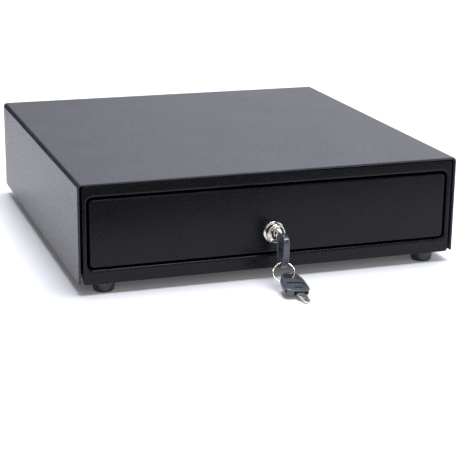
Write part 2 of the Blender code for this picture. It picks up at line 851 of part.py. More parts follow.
def lock(parts):
    parts.mover("lock_body", lock_body(), "drawer", "lock_chrome", smooth=True)
    parts.mover("lock_nut", lock_nut(), "drawer", "zinc_steel")
    parts.mover("lock_plug", lock_plug(), "lock", "lock_chrome")
    parts.mover("lock_cam", lock_cam(), "lock", "zinc_steel")
    parts.mover("cam_screw", cam_screw(), "lock", "zinc_steel", smooth=True)


# ---------------------------------------------------------------- keys


def head_half_width(u):
    """The half width of a key head, u along its length from the ring end."""
    s = u / HEAD_LENGTH
    if s < 0.74:
        rounded = max(1 - ((0.74 - s) / 0.74) ** 3.8, 0.0) ** 0.5
        return HEAD_HALF_WIDTH * rounded * (0.88 + 0.12 * s / 0.74)
    return HEAD_HALF_WIDTH * max(1 - ((s - 0.74) / 0.26) ** 4.2, 0.0) ** 0.36


def head_outline(inset):
    """The outline of a key head as (y, z), with the fold pin at the origin and the ring end down."""
    stations = (0.0, 0.3, 1.0, 2.4, 5.0, 9.0, 15.0, 21.0, 25.9, 29.5, 32.2, 33.9, 34.8, HEAD_LENGTH)
    middle = HEAD_LENGTH / 2
    side = []
    for u in stations:
        width = max(head_half_width(u), 1.2)
        shrink_u = 1 - inset / middle
        shrink_w = 1 - inset / HEAD_HALF_WIDTH
        along = middle + (u - middle) * shrink_u
        side.append((width * shrink_w, along - HEAD_LENGTH + HEAD_ABOVE_PIN))
    return side + [(-y, z) for y, z in reversed(side)]


def key_head():
    """A folding key's moulded head: soft edges, a D slot for the ring, and a fork for the blade.

    The fork is open at the blade's end and on the +Y side, where the blade folds in. The wall on
    the other side has a small window.
    """
    half = HEAD_THICKNESS / 2
    rings = []
    for x, inset in ((-half, 0.9), (-half + 0.9, 0.0), (half - 0.9, 0.0), (half, 0.9)):
        rings.append([(x, y, z) for y, z in head_outline(inset)])
    low = -HEAD_LENGTH + HEAD_ABOVE_PIN
    wide = SLOT_HALF_WIDTH
    corners = [(5.8, SLOT_START), (wide, SLOT_START + 3.2), (wide, SLOT_END)]
    corners += [(-wide, SLOT_END), (-wide, SLOT_START + 3.2), (-5.8, SLOT_START)]
    slot = prism([(y, low + u) for y, u in corners], "x", -9, 9)
    fork = box((-FORK_HALF, -4.9, -5.0), (FORK_HALF, 20, 20))
    window = box((-1.1, -20, 0.1), (1.1, -4, 2.6))
    pin_hole = cylinder(1.8, "x", (0, 0), -9, 9, 12)
    return cut(loft(rings), slot, fork, window, pin_hole)


def key_pin():
    """The pin that the blade folds on."""
    half = HEAD_THICKNESS / 2 - 0.2
    return cylinder(1.5, "x", (0, 0), -half, half, 12)


def key_blade(reach):
    """A flat blade with a round root on the fold pin, along +Y from it."""
    half = BLADE_WIDTH / 2
    outline = arc_points(4.6, 54, 306, 13)
    teeth = 4
    pitch = (reach - 14.0) / teeth
    lower = []
    for i in range(teeth):
        y = 12.0 + i * pitch
        lower += [(y, -half), (y + 0.4 * pitch, -half + 1.6), (y + 0.7 * pitch, -half + 1.6)]
    outline += [(4.0, -half)] + lower + [(reach - 2.0, -half), (reach, -half + 2.2), (reach, half - 2.2)]
    outline += [(reach - 2.0, half), (4.0, half)]
    blade = prism(outline, "x", -BLADE_THICKNESS / 2, BLADE_THICKNESS / 2)
    return cut(blade, cylinder(1.8, "x", (0, 0), -5, 5, 12))


def key_ring():
    """A closed wire ring in its own XZ plane, which hangs from the origin."""
    steps, sides = 32, 8
    rings = []
    for i in range(steps):
        t = 2 * math.pi * i / steps
        outwards = Vector((math.cos(t), 0, math.sin(t)))
        ring = []
        for j in range(sides):
            s = 2 * math.pi * j / sides
            point = outwards * (RING_RADIUS + RING_WIRE * math.cos(s))
            ring.append(point + Vector((0, RING_WIRE * math.sin(s), -RING_RADIUS)))
        rings.append(ring)
    return loft(rings, closed=True)


def ring_turn():
    """The ring's own axes: X along its hinge, and -Z down to its foot, which is tilted forward."""
    return Matrix.Rotation(RING_YAW, 3, "Z") @ Matrix.Rotation(-RING_TILT, 3, "X")


def spare_turn():
    """The spare key's own axes: its head runs back along -Z from the fold pin and its thickness is X."""
    flat = Matrix(((0, -1, 0), (0, 0, -1), (1, 0, 0)))
    lean = Matrix.Rotation(SPARE_PITCH, 3, "X") @ Matrix.Rotation(SPARE_ROLL, 3, "Y")
    return Matrix.Rotation(SPARE_YAW, 3, "Z") @ lean @ flat


def spare_blade_turn():
    """The spare blade's axes: part of the way round its fold pin, towards the open side of the head."""
    return spare_turn() @ Matrix.Rotation(SPARE_FOLD, 3, "X")


def spare_pin_point():
    return SPARE_TIP - spare_blade_turn() @ Vector((0, 0, SPARE_BLADE_REACH))


def spare_link_point():
    """Where the ring's wire crosses the middle of the spare key's thickness, inside its slot."""
    pin, turn = spare_pin_point(), ring_turn()
    up = spare_turn() @ Vector((1, 0, 0))

    def wire_point(degrees):
        t = math.radians(degrees)
        return RING_TOP + turn @ Vector((math.cos(t), 0, -math.sin(t) - 1)) * RING_RADIUS

    return min((wire_point(i) for i in range(90)), key=lambda point: abs((point - pin).dot(up)))


def keys(parts):
    head = key_head()
    pin = key_pin()
    in_lock = key_blade(PANEL_FRONT - LOCK_REACH + 13.0 - FOLD_Y)
    in_lock.transform(Matrix.Translation(Vector((0, FOLD_Y, FOLD_Z)) * MM))
    parts.mover("key_blade", in_lock, "lock", "key_nickel")
    parts.local("key_head", head.copy(), "key_head", "key_plastic")
    parts.local("key_pin", pin.copy(), "key_head", "key_nickel", smooth=True)
    parts.local("key_ring", key_ring(), "key_ring", "key_nickel", smooth=True)
    face_down = spare_turn() @ Matrix.Rotation(math.pi, 3, "Z")
    at_pin = Matrix.Translation(spare_pin_point() * MM) @ face_down.to_4x4()
    to_pin = parts.world("spare_head").inverted() @ at_pin
    spare_head = head.copy()
    spare_head.transform(to_pin)
    parts.local("spare_key_head", spare_head, "spare_head", "key_plastic")
    spare_pin = pin.copy()
    spare_pin.transform(to_pin)
    parts.local("spare_key_pin", spare_pin, "spare_head", "key_nickel", smooth=True)
    blade = moved(key_blade(SPARE_BLADE_REACH), Matrix.Rotation(math.radians(90), 4, "X"))
    parts.local("spare_key_blade", blade, "spare_blade", "key_nickel")


# ---------------------------------------------------------------- latch


def latch_bracket():
    """The two ears that carry the latch lever's pin."""
    low = BASE + 2 * SHEET + 2 * GAP
    y0, y1 = LATCH_PIN_Y - 7, LATCH_PIN_Y + 5
    foot_plate = box((-10, y0, low), (10, y1, low + 1.4))
    ears = [box((x, y0, low + 0.7), (x + 1.4, y1, LATCH_PIN_Z + 5)) for x in (-10, 8.6)]
    hole = cylinder(2.1, "x", (LATCH_PIN_Y, LATCH_PIN_Z), -20, 20, 12)
    return cut(join(foot_plate, *ears), hole)


def latch_pin():
    return cylinder(1.8, "x", (LATCH_PIN_Y, LATCH_PIN_Z), -12, 12, 12)


def latch_lever():
    """The hook lever: a hook in front of its pin, and a flat tail behind it in the plunger's window."""
    y, z = LATCH_PIN_Y, LATCH_PIN_Z
    hook_y = y - HOOK_REACH
    outline = [
        (hook_y, z - 5.0),
        (hook_y + 4, z - 5.0),
        (hook_y + 4, z - 1.5),
        (y - 5, z - 1.5),
        (y, z - 4.4),
        (y + 5, z + 0.4),
        (SOLENOID_Y + 7, z + 0.4),
        (SOLENOID_Y + 7, z + 3.0),
        (y + 5, z + 3.0),
        (y, z + 4.4),
        (y - 5, z + 2.5),
        (hook_y, z + 2.5),
    ]
    lever = prism(outline, "x", -1.6, 1.6)
    return cut(lever, cylinder(2.1, "x", (y, z), -9, 9, 12))


def solenoid_frame():
    """The steel strap round the coil: a foot, a back and a top with a hole for the plunger."""
    low = BASE + 2 * SHEET + 2 * GAP
    top = low + 24.0
    y0, y1 = SOLENOID_Y - 11, SOLENOID_Y + 11
    base_plate = box((-15, y0, low), (15, y1, low + 1.5))
    back = box((13.5, y0, low + 0.7), (15, y1, top + 0.7))
    roof = box((-13, y0, top), (15, y1, top + 1.5))
    hole = cylinder(PLUNGER_RADIUS + 0.5, "z", (0, SOLENOID_Y), top - 5, top + 9, 16)
    return cut(join(base_plate, back, roof), hole)


def solenoid_coil():
    low = BASE + 2 * SHEET + 2 * GAP + 1.8
    return tube(SOLENOID_RADIUS, PLUNGER_RADIUS + 0.4, "z", (0, SOLENOID_Y), low, low + 21.8, 20)


def plunger():
    """The solenoid's iron core, with a window at its top for the lever's tail."""
    low = BASE + 10.0
    core = cylinder(PLUNGER_RADIUS, "z", (0, SOLENOID_Y), low, LATCH_PIN_Z + 8.0, 16)
    z = LATCH_PIN_Z + 1.7
    window = box((-2.1, SOLENOID_Y - 9, z - 3.4), (2.1, SOLENOID_Y + 9, z + 3.6))
    return cut(core, window)


def microswitch():
    """The switch that reports an open drawer: a small case beside the latch."""
    x, y, z = SWITCH_X, SWITCH_Y, SWITCH_Z
    return box((x - 3.2, y, z - 10), (x + 3.2, y + 10, z + 10))


def switch_bracket():
    """The angle that carries the switch on the base."""
    low = BASE + 2 * SHEET + 2 * GAP
    x, y = SWITCH_X + 3.5, SWITCH_Y
    upright = box((x, y + 1, low), (x + 1.2, y + 12, SWITCH_Z + 9))
    foot_plate = box((x, y + 1, low), (x + 14, y + 12, low + 1.2))
    return join(upright, foot_plate)


def switch_lever():
    """The leaf that the closed drawer presses: hinged at the foot of the switch's front."""
    x, y = SWITCH_X, SWITCH_Y - 2.2
    z0 = SWITCH_Z - 9.0
    outline = [
        (y - 0.9, z0 - 1.0),
        (y + 0.9, z0 - 1.0),
        (y + 0.9, z0 + 1.0),
        (y - 1.4, z0 + 19.0),
        (y - 2.2, z0 + 19.0),
    ]
    return prism(outline, "x", x - 2.4, x + 2.4)


def ejector_guide():
    """A stud on the rear panel that the ejector spring sits round."""
    back = BACK - 2 * SHEET - 2 * GAP
    profile = ((7.5, back), (7.5, back - 2.0), (3.0, back - 2.4), (3.0, back - 34.0))
    return turned(profile, "y", EJECTOR_PLACE, 16)


def coil(radius, wire, turns, steps, point_at):
    """A round wire wound round an axis: point_at gives the axis point, the outward and the axis direction."""
    total = turns * steps
    rings = []
    for i in range(total + 1):
        middle, outwards, along = point_at(2 * math.pi * i / steps, i / total)
        centre = middle + outwards * radius
        ring = []
        for j in range(5):
            s = 2 * math.pi * j / 5
            ring.append(centre + outwards * wire * math.cos(s) + along * wire * math.sin(s))
        rings.append(ring)
    return loft(rings)


def ejector_spring():
    """The spring that starts the drawer: a coil between the rear panel and the pan, shown pressed."""
    start = PAN_BACK + 1.2
    end = BACK - 2 * SHEET - 2 * GAP - 3.4
    x, z = EJECTOR_PLACE

    def point_at(turn, share):
        outwards = Vector((math.cos(turn), 0, math.sin(turn)))
        return Vector((x, start + (end - start) * share, z)), outwards, Vector((0, 1, 0))

    return coil(5.6, 0.6, 9, 14, point_at)


def latch_spring():
    """The torsion spring on the latch pin that drops the hook."""

    def point_at(turn, share):
        outwards = Vector((0, math.cos(turn), math.sin(turn)))
        return Vector((2.8 + 4.6 * share, LATCH_PIN_Y, LATCH_PIN_Z)), outwards, Vector((1, 0, 0))

    return coil(3.0, 0.4, 4, 12, point_at)


def latch(parts):
    parts.fixed("latch_bracket", latch_bracket(), "housing", "zinc_steel")
    parts.fixed("latch_pin", latch_pin(), "housing", "zinc_steel", smooth=True)
    parts.mover("latch_lever", latch_lever(), "latch_lever", "zinc_steel")
    parts.fixed("latch_spring", latch_spring(), "housing", "zinc_steel", smooth=True)
    parts.fixed("solenoid_frame", solenoid_frame(), "housing", "zinc_steel")
    parts.fixed("solenoid_coil", solenoid_coil(), "housing", "coil_tape", smooth=True)
    parts.mover("solenoid_plunger", plunger(), "plunger", "zinc_steel", smooth=True)
    parts.fixed("microswitch", microswitch(), "housing", "socket_plastic")
    parts.fixed("switch_bracket", switch_bracket(), "housing", "zinc_steel")
    parts.mover("switch_lever", switch_lever(), "switch_lever", "zinc_steel")
    parts.fixed("ejector_guide", ejector_guide(), "housing", "zinc_steel", smooth=True)
    parts.fixed("ejector_spring", ejector_spring(), "housing", "zinc_steel", smooth=True)


# ---------------------------------------------------------------- assembly


def bodies(parts):
    """An empty for each moving body, on the axis of the joint that carries it."""
    parts.body("housing", None, (0, 0, 0))
    rail_middle = (RAIL_LOW + RAIL_HIGH) / 2
    parts.body("cage_right", "housing", (OUTER_RAIL_X, CAGE_START, rail_middle))
    parts.body("cage_left", "housing", (-OUTER_RAIL_X, CAGE_START, rail_middle))
    parts.body("drawer", "housing", (0, FRONT, rail_middle))
    for i in range(BILL_COUNT):
        parts.body("note_clip_%d" % (i + 1), "drawer", (0, CLIP_Y, CLIP_Z))
    parts.body("lock", "drawer", (0, PANEL_FRONT, LOCK_Z))
    parts.body("key_head", "lock", (0, FOLD_Y, FOLD_Z), Matrix.Rotation(HEAD_YAW, 3, "Z"))
    parts.body("key_ring", "key_head", RING_TOP, ring_turn())
    parts.body("spare_head", "key_ring", spare_link_point(), spare_turn())
    parts.body("spare_blade", "spare_head", spare_pin_point(), spare_blade_turn())
    parts.body("latch_lever", "housing", (0, LATCH_PIN_Y, LATCH_PIN_Z))
    parts.body("plunger", "housing", (0, SOLENOID_Y, LATCH_PIN_Z))
    parts.body("switch_lever", "housing", (SWITCH_X, SWITCH_Y - 2.2, SWITCH_Z - 9.0))


def main():
    clear_scene()
    parts = Assembly()
    bodies(parts)
    housing(parts)
    slides(parts)
    drawer(parts)
    lock(parts)
    keys(parts)
    latch(parts)


main()
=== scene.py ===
"""Looks of the cash drawer: painted sheet steel, a nickel lock, its keys, and the till inside.

Numbers are in millimetres and become metres where a mesh is made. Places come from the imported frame: a span
is a node's low and high corner. +Z is up and the drawer opens towards -Y.
"""

import json
import math

import bmesh
import bpy
from mathutils import Matrix, Vector

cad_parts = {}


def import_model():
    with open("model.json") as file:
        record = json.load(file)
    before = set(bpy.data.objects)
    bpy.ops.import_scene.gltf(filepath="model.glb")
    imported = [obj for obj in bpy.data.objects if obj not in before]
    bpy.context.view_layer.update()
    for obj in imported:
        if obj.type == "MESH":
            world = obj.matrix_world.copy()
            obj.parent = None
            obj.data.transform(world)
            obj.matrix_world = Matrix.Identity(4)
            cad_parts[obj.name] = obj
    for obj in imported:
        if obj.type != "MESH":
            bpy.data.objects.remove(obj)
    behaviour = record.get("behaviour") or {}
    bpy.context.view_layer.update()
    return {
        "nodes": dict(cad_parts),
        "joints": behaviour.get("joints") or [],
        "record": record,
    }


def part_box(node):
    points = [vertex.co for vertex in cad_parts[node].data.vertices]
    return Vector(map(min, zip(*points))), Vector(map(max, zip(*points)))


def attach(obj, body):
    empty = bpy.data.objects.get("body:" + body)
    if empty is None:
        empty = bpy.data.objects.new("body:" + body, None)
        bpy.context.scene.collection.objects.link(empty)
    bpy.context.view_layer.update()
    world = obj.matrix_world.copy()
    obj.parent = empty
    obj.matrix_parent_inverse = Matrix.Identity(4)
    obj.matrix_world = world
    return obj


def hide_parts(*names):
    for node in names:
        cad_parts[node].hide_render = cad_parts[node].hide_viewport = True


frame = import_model()

MM = 0.001

# The clearance between neighbouring pieces, and how far a cutter reaches past what it cuts
GAP = 0.3
PAST = 5.0

# Camera: angles in degrees, and the far limit in metres
CAMERA_PLACE = (-485.9, -1457.8, 463.1)
CAMERA_AZIMUTH = 18.73
CAMERA_DOWN = 16.61
CAMERA_ROLL = 0.62
CAMERA_LENS = 109.7
CAMERA_SENSOR = 36.0
CAMERA_FAR = 30.0

# Studio: the direction of the bright patch behind the object, its half widths in degrees, and strengths
WALL_AZIMUTH = 38.0
WALL_HEIGHT = 44.0
WALL_CORE = 20.0
WALL_SPREAD = 52.0
STUDIO_DIM = 0.09
STUDIO_BRIGHT = 1.3
STUDIO_COLOUR = (0.90, 0.92, 1.0, 1.0)

# Table, and black cards of painted shade seen only in reflections; all are outlines seen from above
TABLE_HALF = 9000.0
TABLE_THICKNESS = 20.0
TABLE_DROP = 0.05
TABLE_COLOUR = (0.82, 0.83, 0.90)
TABLE_ROUGHNESS = 0.45
# The table's own glow is painted light, which lifts the shade under and beside the drawer
TABLE_GLOW = 0.07
# Painted shade: cards that darken the coat's reflections in front of the drawer and behind it
PAINTED_SHADE_MAT = ((-900, -1500), (900, -1500), (900, -560), (200, -470), (-200, -352), (-900, -300))
PAINTED_SHADE_BACK = ((-1500, 800), (-200, 800), (-200, 805), (-1500, 805))

# Surface noise: the part of its range that is spread over a material's own range
NOISE_LOW = 0.3
NOISE_HIGH = 0.7

# Edges: the angle above which an edge is rounded, and the angle above which it stays sharp
BEVEL_ANGLE = 32
SHARP_ANGLE = 50
BEVEL_SEGMENTS = 2

# Sheet steel: the cover, the frame round the opening and the drawer's front
SHEET = 1.2
COVER_BEND = 4.5
HEM = 2.3
HEM_DEPTH = 10.0
BACK_RETURN = 12.0
BACK_CORNER = 1.4
FRAME_CORNER = 3.6
FRAME_EDGE = 1.5
OPENING_EDGE = 2.6
OPENING_CORNER = 6.0
OPENING_DEPTH = 14.0
PANEL_CORNER = 4.0
PANEL_EDGE = 1.8
PANEL_GAP_SIDE = 2.3
PANEL_GAP_LOW = 2.0
PANEL_GAP_HIGH = 2.3
PANEL_INNER_CORNER = 3.0
CAM_WAY_LEFT = 8.0
CAM_WAY_RIGHT = 25.0

# Rubber feet
FOOT_BOTTOM_RADIUS = 9.6
FOOT_SHOULDER = 0.8
FOOT_BOTTOM_ROUND = 1.8
FOOT_RECESS_RADIUS = 5.2
FOOT_RECESS_DEPTH = 6.0
FOOT_HOLE_RADIUS = 2.5

# Lock
LOCK_RADIUS = 9.8
LOCK_RIM = 1.0
LOCK_FLANGE_ROUND = 0.8
PLUG_RADIUS = 6.2
PLUG_CLEARANCE = 0.15
PLUG_TAIL_HALF = 2.6
PLUG_EDGE = 0.12
KEYWAY_DEPTH = 14.0
FLANGE_THICKNESS = 1.8

# Key heads: the outline, the fork for the blade and the slot for the ring
HEAD_LENGTH = 35.0
HEAD_HALF_WIDTH = 13.2
HEAD_THICKNESS = 6.6
HEAD_ABOVE_PIN = 5.2
HEAD_WIDEST = 0.74
HEAD_TAPER = 0.12
HEAD_ROUND = 1.3
HEAD_DISH = 0.8
HEAD_RIM = 2.5
HEAD_EDGE = 0.18
FORK_HALF = 1.9
FORK_BACK = 4.9
FORK_FLOOR = 5.0
SLOT_START = 3.3
SLOT_END = 10.7
SLOT_HALF_WIDTH = 8.2
SLOT_HALF_START = 5.8
SLOT_SHOULDER = 3.2
GROOVE_DEPTH = 1.3

# Key blades and their pins; the spare's blade is folded by some degrees
BLADE_THICKNESS = 1.9
BLADE_WIDTH = 7.4
BLADE_ROOT = 4.6
BLADE_NECK = 4.0
BLADE_TIP = 2.2
BLADE_EDGE = 0.08
BLADE_CUTS = 4
FIRST_CUT = 12.0
CUT_DEPTH = 1.6
BLADE_GROOVE_DEPTH = 0.55
BLADE_GROOVE_WIDTH = 1.5
PIN_RADIUS = 1.5
PIN_HOLE_RADIUS = 1.6
SPARE_REACH = 22.3
SPARE_FOLD = 11.0

# Split ring: its turns lie a pitch apart, and it starts at an angle in degrees
RING_RADIUS = 10.9
RING_PITCH = 0.7
RING_TURNS = 2
RING_STEPS = 96
RING_START = 200
WIRE_HALF_WIDTH = 0.5
WIRE_HALF_THICKNESS = 0.33
WIRE_ROUND = 0.28

# The grooves in a key head's face: low corner, high corner and corner radius, across from the middle and
# along from the ring end
HEAD_GROOVES = (
    ((-8.4, 17.8), (8.4, 20.2), 0.8),
    ((-3.0, 26.3), (6.2, 28.3), 0.8),
    ((6.2, 9.4), (8.2, 15.6), 0.8),
    ((8.2, 19.4), (9.5, 25.6), 0.6),
)

# Coin insert
COIN_COLUMNS = 4
COIN_ROWS = 2
COIN_WALL = 2.6
COIN_RIM = 1.9
COIN_SCOOP = 16.0
COIN_FLOOR = 2.0
COIN_EDGE = 0.5

# How far the edges of the other sheets and trays are rounded
REFINED = {
    "chassis": 0.3,
    "rear_panel": 0.3,
    "drawer_pan": 0.35,
    "till_tray": 0.5,
    "bill_divider_1": 0.5,
    "bill_divider_2": 0.5,
    "bill_divider_3": 0.5,
}


def span(node):
    """The low and high corner of a node, in millimetres."""
    low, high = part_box(node)
    return Vector(low) / MM, Vector(high) / MM


def joint(name):
    """A joint's point in millimetres and its axis."""
    found = next(j for j in frame["joints"] if j["name"] == name)
    return Vector(found.get("pos_m", (0, 0, 0))) / MM, Vector(found["axis"]).normalized()


COVER_LOW, COVER_HIGH = span("top_cover")
FRAME_LOW, FRAME_HIGH = span("front_frame")
PANEL_LOW, PANEL_HIGH = span("drawer_front")
LOCK_LOW, LOCK_HIGH = span("lock_body")
FRONT, BACK, TOP = COVER_LOW.y, COVER_HIGH.y, COVER_HIGH.z
HALF = COVER_HIGH.x
LOCK_Z = (LOCK_LOW.z + LOCK_HIGH.z) / 2
OPENING_LOW = Vector((PANEL_LOW.x - PANEL_GAP_SIDE, 0, PANEL_LOW.z - PANEL_GAP_LOW))
OPENING_HIGH = Vector((PANEL_HIGH.x + PANEL_GAP_SIDE, 0, PANEL_HIGH.z + PANEL_GAP_HIGH))


# ---------------------------------------------------------------- materials


class Nodes:
    """A short way to build one material's node tree."""

    def __init__(self, name, colour, roughness, metallic=0.0, **sockets):
        self.material = bpy.data.materials.new(name)
        self.material.use_nodes = True
        self.tree = self.material.node_tree
        self.shader = self.tree.nodes["Principled BSDF"]
        self.shader.inputs["Base Color"].default_value = (*colour, 1.0)
        self.shader.inputs["Roughness"].default_value = roughness
        self.shader.inputs["Metallic"].default_value = metallic
        for socket, value in sockets.items():
            self.shader.inputs[socket.replace("_", " ")].default_value = value
        self.colour = colour
        self.place = self.add("ShaderNodeTexCoord").outputs["Object"]
        self.normal = None

    def add(self, kind, **settings):
        """A new node with some of its settings."""
        node = self.tree.nodes.new(kind)
        for name, value in settings.items():
            setattr(node, name, value)
        return node

    def link(self, out, into):
        self.tree.links.new(out, into)

    def stretched(self, scale):
        """Object coordinates stretched by a factor along each axis."""
        node = self.add("ShaderNodeMapping")
        node.inputs["Scale"].default_value = scale
        self.link(self.place, node.inputs["Vector"])
        return node.outputs["Vector"]

    def noise(self, per_metre, detail=2.0, rough=0.5, at=None):
        """Cloudy noise with so many features per metre."""
        node = self.add("ShaderNodeTexNoise")
        node.inputs["Scale"].default_value = per_metre
        node.inputs["Detail"].default_value = detail
        node.inputs["Roughness"].default_value = rough
        self.link(at or self.place, node.inputs["Vector"])
        return node.outputs["Fac"]

    def cells(self, per_metre):
        """Soft round cells, so many per metre."""
        node = self.add("ShaderNodeTexVoronoi", feature="SMOOTH_F1")
        node.inputs["Scale"].default_value = per_metre
        self.link(self.place, node.inputs["Vector"])
        return node.outputs["Distance"]

    def spread(self, value, low, high):
        """A noise value spread over a range."""
        node = self.add("ShaderNodeMapRange")
        node.inputs["From Min"].default_value = NOISE_LOW
        node.inputs["From Max"].default_value = NOISE_HIGH
        node.inputs["To Min"].default_value = low
        node.inputs["To Max"].default_value = high
        self.link(value, node.inputs["Value"])
        return node.outputs["Result"]

    def tint(self, value, dark, light):
        """Base colour from a 0 to 1 value, between two multiples of the material's colour."""
        node = self.add("ShaderNodeMix", data_type="RGBA")
        node.inputs["A"].default_value = (*[c * dark for c in self.colour], 1.0)
        node.inputs["B"].default_value = (*[c * light for c in self.colour], 1.0)
        self.link(value, node.inputs["Factor"])
        self.link(node.outputs["Result"], self.shader.inputs["Base Color"])

    def rough(self, value):
        self.link(value, self.shader.inputs["Roughness"])

    def bump(self, height, depth):
        """Adds relief of a depth in millimetres."""
        node = self.add("ShaderNodeBump")
        node.inputs["Distance"].default_value = depth * MM
        node.inputs["Strength"].default_value = 1.0
        self.link(height, node.inputs["Height"])
        if self.normal:
            self.link(self.normal, node.inputs["Normal"])
        self.normal = node.outputs["Normal"]
        self.link(self.normal, self.shader.inputs["Normal"])


def powder_coat(name, colour, roughness, gloss, peel):
    """Satin powder coat with a fine orange-peel wrinkle of a depth in millimetres."""
    nodes = Nodes(name, colour, roughness, Specular_IOR_Level=gloss)
    nodes.tint(nodes.spread(nodes.noise(14, detail=3), 0, 1), dark=0.86, light=1.16)
    nodes.rough(nodes.spread(nodes.noise(420), roughness - 0.05, roughness + 0.07))
    nodes.bump(nodes.noise(520, rough=0.55), peel)
    nodes.bump(nodes.cells(1100), peel * 0.35)
    return nodes.material


def zinc_plate(name):
    """Zinc-plated steel: a pale metal with soft mottling and fine rolling lines."""
    nodes = Nodes(name, colour=(0.56, 0.57, 0.60), roughness=0.34, metallic=1.0)
    nodes.tint(nodes.spread(nodes.noise(55, detail=3), 0, 1), dark=0.84, light=1.08)
    lines = nodes.noise(900, at=nodes.stretched((1.0, 0.03, 1.0)))
    nodes.rough(nodes.spread(lines, 0.26, 0.44))
    nodes.bump(lines, depth=0.01)
    return nodes.material


def nickel(name, colour, roughness):
    """Bright plate with faint handling marks."""
    nodes = Nodes(name, colour, roughness, metallic=1.0)
    marks = nodes.noise(260, detail=4, rough=0.65, at=nodes.stretched((1.0, 0.25, 1.0)))
    nodes.rough(nodes.spread(marks, roughness - 0.03, roughness + 0.10))
    nodes.tint(nodes.spread(nodes.noise(120), 0, 1), dark=0.93, light=1.04)
    return nodes.material


def plastic(name, colour, roughness, grain=900, depth=0.03, gloss=0.5):
    """Moulded plastic with a fine spark-eroded grain."""
    nodes = Nodes(name, colour, roughness, Specular_IOR_Level=gloss)
    nodes.tint(nodes.spread(nodes.noise(60), 0, 1), dark=0.92, light=1.08)
    nodes.rough(nodes.spread(nodes.noise(300), roughness - 0.05, roughness + 0.06))
    nodes.bump(nodes.noise(grain), depth)
    return nodes.material


def rubber(name):
    """Black moulded rubber with a slightly uneven shine."""
    nodes = Nodes(name, colour=(0.012, 0.014, 0.018), roughness=0.24, Specular_IOR_Level=0.6)
    nodes.rough(nodes.spread(nodes.noise(200, detail=3), 0.18, 0.34))
    nodes.bump(nodes.noise(260), depth=0.05)
    return nodes.material


def coil_winding(name):
    """Amber tape over a winding, with its turns showing as fine rings."""
    nodes = Nodes(name, colour=(0.50, 0.30, 0.05), roughness=0.38)
    turns = nodes.noise(1500, detail=1, at=nodes.stretched((0.02, 0.02, 1.0)))
    nodes.tint(nodes.spread(turns, 0, 1), dark=0.75, light=1.15)
    nodes.bump(turns, depth=0.08)
    return nodes.material


def make_materials():
    """One material for each slot of the record."""
    # The cover's grey is the front's black coat made lighter: painted light, for the light falling on its top
    # and sides
    black, painted_lit_grey = (0.0045, 0.0048, 0.0062), (0.031, 0.0315, 0.042)
    head, tray = (0.046, 0.055, 0.072), (0.030, 0.030, 0.032)
    clip, socket = (0.022, 0.022, 0.024), (0.020, 0.020, 0.022)
    chrome, steel = (0.86, 0.82, 0.76), (0.74, 0.71, 0.66)
    return {
        "black_coat": powder_coat("black_coat", black, roughness=0.24, gloss=0.21, peel=0.08),
        # Same black paint as black_coat, with a lighter base colour as painted light
        "cover_coat": powder_coat("cover_coat", painted_lit_grey, roughness=0.28, gloss=0.28, peel=0.035),
        "zinc_steel": zinc_plate("zinc_steel"),
        "lock_chrome": nickel("lock_chrome", chrome, roughness=0.10),
        "key_nickel": nickel("key_nickel", steel, roughness=0.20),
        "key_plastic": plastic("key_plastic", head, roughness=0.33, gloss=0.9),
        "foot_rubber": rubber("foot_rubber"),
        "tray_plastic": plastic("tray_plastic", tray, roughness=0.50, grain=700, depth=0.06),
        "clip_plastic": plastic("clip_plastic", clip, roughness=0.40),
        "coil_tape": coil_winding("coil_tape"),
        "socket_plastic": plastic("socket_plastic", socket, roughness=0.42),
    }


MATERIALS = make_materials()


# ---------------------------------------------------------------- mesh helpers


def mesh_from(build):
    """A mesh in metres from a function that fills a bmesh in millimetres."""
    shape = bmesh.new()
    build(shape)
    bmesh.ops.remove_doubles(shape, verts=shape.verts, dist=0.0005)
    bmesh.ops.recalc_face_normals(shape, faces=shape.faces)
    bmesh.ops.scale(shape, vec=(MM, MM, MM), verts=shape.verts)
    mesh = bpy.data.meshes.new("shape")
    shape.to_mesh(mesh)
    shape.free()
    return mesh


def loft(rings, closed_along=False, closed_round=True, capped=True):
    """A mesh through rings of equally many points."""

    def build(shape):
        rows = [[shape.verts.new(point) for point in ring] for ring in rings]
        count = len(rows[0])
        pairs = list(zip(rows, rows[1:]))
        if closed_along:
            pairs.append((rows[-1], rows[0]))
        for low, high in pairs:
            for i in range(count if closed_round else count - 1):
                j = (i + 1) % count
                shape.faces.new((low[i], low[j], high[j], high[i]))
        if capped and not closed_along:
            shape.faces.new(rows[0][::-1])
            shape.faces.new(rows[-1])
        if capped and not closed_round:
            shape.faces.new([row[0] for row in rows])
            shape.faces.new([row[-1] for row in rows][::-1])

    return mesh_from(build)


def arc(centre, radius, start, end, steps):
    """Points on an arc between two angles in degrees."""
    points = []
    for i in range(steps + 1):
        t = math.radians(start + (end - start) * i / steps)
        points.append((centre[0] + radius * math.cos(t), centre[1] + radius * math.sin(t)))
    return points


def round_rect(low, high, radius, steps=6):
    """A rectangle's outline with round corners."""
    outline = []
    for a, b, start in (
        (high[0] - radius, high[1] - radius, 0),
        (low[0] + radius, high[1] - radius, 90),
        (low[0] + radius, low[1] + radius, 180),
        (high[0] - radius, low[1] + radius, 270),
    ):
        outline += arc((a, b), radius, start, start + 90, steps)
    return outline


def on_plane(axis, a, b, at):
    """A point from two coordinates across an axis and one along it."""
    return {"x": (at, a, b), "y": (a, at, b), "z": (a, b, at)}[axis]


def prism(outline, axis, start, end):
    """An outline pushed along an axis from one place to another."""
    return loft([[on_plane(axis, a, b, at) for a, b in outline] for at in (start, end)])


